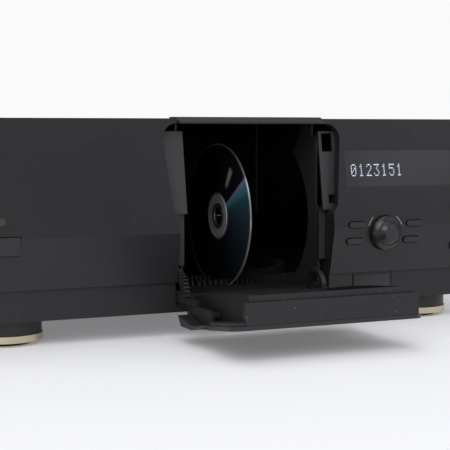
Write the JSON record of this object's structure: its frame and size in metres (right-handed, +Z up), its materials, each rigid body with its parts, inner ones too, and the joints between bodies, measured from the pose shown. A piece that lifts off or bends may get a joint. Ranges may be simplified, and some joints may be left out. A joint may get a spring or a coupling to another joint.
{
  "type": "multi disc changer",
  "caption": "hi-fi compact disc changer with an open fold-down front door, a disc standing in its slotted rotary carousel, an upright player at the centre, jog knob and keys",
  "frame": {"origin": "middle of the whole footprint on the floor, with the door open", "axes": "+X to the right seen from the front, +Y from the front to the rear, +Z up"},
  "size_m": [0.44, 0.5448, 0.1662],
  "materials": {
    "audio_jacks": "gold-plated",
    "board_angles": "zinc-plated steel",
    "carousel_glides": "natural acetal",
    "carousel_idler": "natural acetal",
    "carousel_motor": "zinc-plated steel",
    "carousel_pinion": "natural acetal",
    "carousel_tray": "black moulding",
    "chassis_pan": "zinc-plated steel",
    "clamp_arm": "black moulding",
    "clamper": "black moulding",
    "control_board": "solder-masked board",
    "cover_screws": "black zinc",
    "disc": "metallised polycarbonate",
    "display_tube": "dark glass",
    "display_window": "smoked acrylic",
    "door_arm": "black moulding",
    "door_box": "black moulding",
    "door_cover": "fine-textured charcoal moulding",
    "door_frame": "light grey moulding",
    "door_gear_sector": "black moulding",
    "door_key": "fine-textured charcoal moulding",
    "door_motor": "zinc-plated steel",
    "door_pinion": "natural acetal",
    "door_visor": "fine-textured charcoal moulding",
    "feed_screw": "zinc-plated steel",
    "foot_bodies": "black moulding",
    "foot_pads": "soft black rubber",
    "foot_rings": "bright champagne plating",
    "front_fascia": "fine-textured charcoal moulding",
    "guide_rods": "zinc-plated steel",
    "hinge_pins": "zinc-plated steel",
    "inner_comb": "black moulding",
    "jog_encoder": "zinc-plated steel",
    "jog_knob": "fine-textured charcoal moulding",
    "key_switches": "natural acetal",
    "lamp_lens": "red lens",
    "laser_pickup": "black moulding",
    "left_liner_wall": "black moulding",
    "loading_arm": "black moulding",
    "lower_trim": "fine-textured charcoal moulding",
    "main_board": "solder-masked board",
    "outer_comb": "black moulding",
    "play_key": "fine-textured charcoal moulding",
    "player_tower": "black moulding",
    "power_board": "solder-masked board",
    "power_inlet": "black moulding",
    "power_key": "fine-textured charcoal moulding",
    "power_key_board": "solder-masked board",
    "rear_panel": "black powder-coated steel",
    "right_liner_wall": "black moulding",
    "search_key_lower_left": "fine-textured charcoal moulding",
    "search_key_lower_right": "fine-textured charcoal moulding",
    "search_key_upper_left": "fine-textured charcoal moulding",
    "search_key_upper_right": "fine-textured charcoal moulding",
    "sill_plate": "black moulding",
    "spindle_motor": "zinc-plated steel",
    "stop_key": "fine-textured charcoal moulding",
    "top_cover": "black powder-coated steel",
    "transformer": "varnished steel and windings",
    "turntable": "black moulding"
  },
  "bodies": {
    "chassis": {"audio_jacks": "audio_jacks", "board_angles": "board_angles", "carousel_glides": "carousel_glides", "carousel_motor": "carousel_motor", "chassis_pan": "chassis_pan", "control_board": "control_board", "cover_screws": "cover_screws", "display_tube": "display_tube", "display_window": "display_window", "door_frame": "door_frame", "door_motor": "door_motor", "door_visor": "door_visor", "foot_bodies": "foot_bodies", "foot_pads": "foot_pads", "foot_rings": "foot_rings", "front_fascia": "front_fascia", "guide_rods": "guide_rods", "jog_encoder": "jog_encoder", "key_switches": "key_switches", "lamp_lens": "lamp_lens", "left_liner_wall": "left_liner_wall", "lower_trim": "lower_trim", "main_board": "main_board", "player_tower": "player_tower", "power_board": "power_board", "power_inlet": "power_inlet", "power_key_board": "power_key_board", "rear_panel": "rear_panel", "right_liner_wall": "right_liner_wall", "sill_plate": "sill_plate", "spindle_motor": "spindle_motor", "top_cover": "top_cover", "transformer": "transformer"},
    "door": {"door_cover": "door_cover", "door_box": "door_box", "door_gear_sector": "door_gear_sector", "door_arm": "door_arm", "hinge_pins": "hinge_pins"},
    "door_pinion": {"door_pinion": "door_pinion"},
    "carousel": {"carousel_tray": "carousel_tray", "outer_comb": "outer_comb", "inner_comb": "inner_comb", "disc": "disc"},
    "carousel_idler": {"carousel_idler": "carousel_idler"},
    "carousel_pinion": {"carousel_pinion": "carousel_pinion"},
    "turntable": {"turntable": "turntable"},
    "clamp_arm": {"clamp_arm": "clamp_arm"},
    "clamper": {"clamper": "clamper"},
    "laser_pickup": {"laser_pickup": "laser_pickup"},
    "feed_screw": {"feed_screw": "feed_screw"},
    "loading_arm": {"loading_arm": "loading_arm"},
    "jog_knob": {"jog_knob": "jog_knob"},
    "power_key": {"power_key": "power_key"},
    "search_key_upper_left": {"search_key_upper_left": "search_key_upper_left"},
    "search_key_lower_left": {"search_key_lower_left": "search_key_lower_left"},
    "search_key_upper_right": {"search_key_upper_right": "search_key_upper_right"},
    "search_key_lower_right": {"search_key_lower_right": "search_key_lower_right"},
    "play_key": {"play_key": "play_key"},
    "stop_key": {"stop_key": "stop_key"},
    "door_key": {"door_key": "door_key"}
  },
  "joints": [
    {"name": "door_swing", "type": "hinge", "parent": "chassis", "child": "door", "pos_m": [0.0113, -0.14202, 0.03], "axis": [-1, 0, 0], "range_deg": [0, 88.9]},
    {"name": "door_pinion_spin", "type": "hinge", "parent": "chassis", "child": "door_pinion", "pos_m": [-0.0518, -0.13145, 0.05375], "axis": [-1, 0, 0], "range_deg": [-374, 0]},
    {"name": "carousel_spin", "type": "hinge", "parent": "chassis", "child": "carousel", "pos_m": [0.015, 0.06538, 0.0223], "axis": [0, 0, 1], "continuous": true},
    {"name": "idler_spin", "type": "hinge", "parent": "chassis", "child": "carousel_idler", "pos_m": [-0.12488, 0.18569, 0.0223], "axis": [0, 0, 1], "continuous": true},
    {"name": "carousel_pinion_spin", "type": "hinge", "parent": "chassis", "child": "carousel_pinion", "pos_m": [-0.15331, 0.21014, 0.0223], "axis": [0, 0, 1], "continuous": true},
    {"name": "turntable_spin", "type": "hinge", "parent": "chassis", "child": "turntable", "pos_m": [0.01, 0.06538, 0.0852], "axis": [1, 0, 0], "continuous": true},
    {"name": "clamp_arm_swing", "type": "hinge", "parent": "chassis", "child": "clamp_arm", "pos_m": [0.0362, 0.06538, 0.05], "axis": [0, 1, 0], "range_deg": [0, 6], "stiffness_Nm_per_rad": 0.4, "springref_deg": -2.86},
    {"name": "clamper_spin", "type": "hinge", "parent": "clamp_arm", "child": "clamper", "pos_m": [0.035, 0.06538, 0.0852], "axis": [1, 0, 0], "continuous": true},
    {"name": "pickup_slide", "type": "slide", "parent": "chassis", "child": "laser_pickup", "axis": [0, 1, 0], "range_m": [0, 0.028]},
    {"name": "feed_screw_spin", "type": "hinge", "parent": "chassis", "child": "feed_screw", "pos_m": [-0.005, 0.10538, 0.0572], "axis": [0, 1, 0], "range_deg": [0, 3361]},
    {"name": "loading_arm_swing", "type": "hinge", "parent": "chassis", "child": "loading_arm", "pos_m": [0.0116, 0.03138, 0.04], "axis": [1, 0, 0], "range_deg": [0, 60]},
    {"name": "jog_spin", "type": "hinge", "parent": "chassis", "child": "jog_knob", "pos_m": [0.124, -0.15662, 0.074], "axis": [0, -1, 0], "continuous": true},
    {"name": "search_key_upper_left_press", "type": "slide", "parent": "chassis", "child": "search_key_upper_left", "axis": [0, 1, 0], "range_m": [0, 0.0008], "stiffness_N_per_m": 300},
    {"name": "search_key_lower_left_press", "type": "slide", "parent": "chassis", "child": "search_key_lower_left", "axis": [0, 1, 0], "range_m": [0, 0.0008], "stiffness_N_per_m": 300},
    {"name": "search_key_upper_right_press", "type": "slide", "parent": "chassis", "child": "search_key_upper_right", "axis": [0, 1, 0], "range_m": [0, 0.0008], "stiffness_N_per_m": 300},
    {"name": "search_key_lower_right_press", "type": "slide", "parent": "chassis", "child": "search_key_lower_right", "axis": [0, 1, 0], "range_m": [0, 0.0008], "stiffness_N_per_m": 300},
    {"name": "play_key_press", "type": "slide", "parent": "chassis", "child": "play_key", "axis": [0, 1, 0], "range_m": [0, 0.0008], "stiffness_N_per_m": 300},
    {"name": "stop_key_press", "type": "slide", "parent": "chassis", "child": "stop_key", "axis": [0, 1, 0], "range_m": [0, 0.0008], "stiffness_N_per_m": 300},
    {"name": "door_key_press", "type": "slide", "parent": "chassis", "child": "door_key", "axis": [0, 1, 0], "range_m": [0, 0.0008], "stiffness_N_per_m": 300},
    {"name": "power_key_press", "type": "slide", "parent": "chassis", "child": "power_key", "axis": [0, 1, 0], "range_m": [0, 0.0008], "stiffness_N_per_m": 300}
  ],
  "couplings": [
    {"joint": "door_pinion_spin", "follows": "door_swing", "ratio": -4.2},
    {"joint": "idler_spin", "follows": "carousel_spin", "ratio": -6.2353},
    {"joint": "carousel_pinion_spin", "follows": "carousel_spin", "ratio": 13.25},
    {"joint": "feed_screw_spin", "follows": "pickup_slide", "rad_per_m": 2094.4}
  ]
}
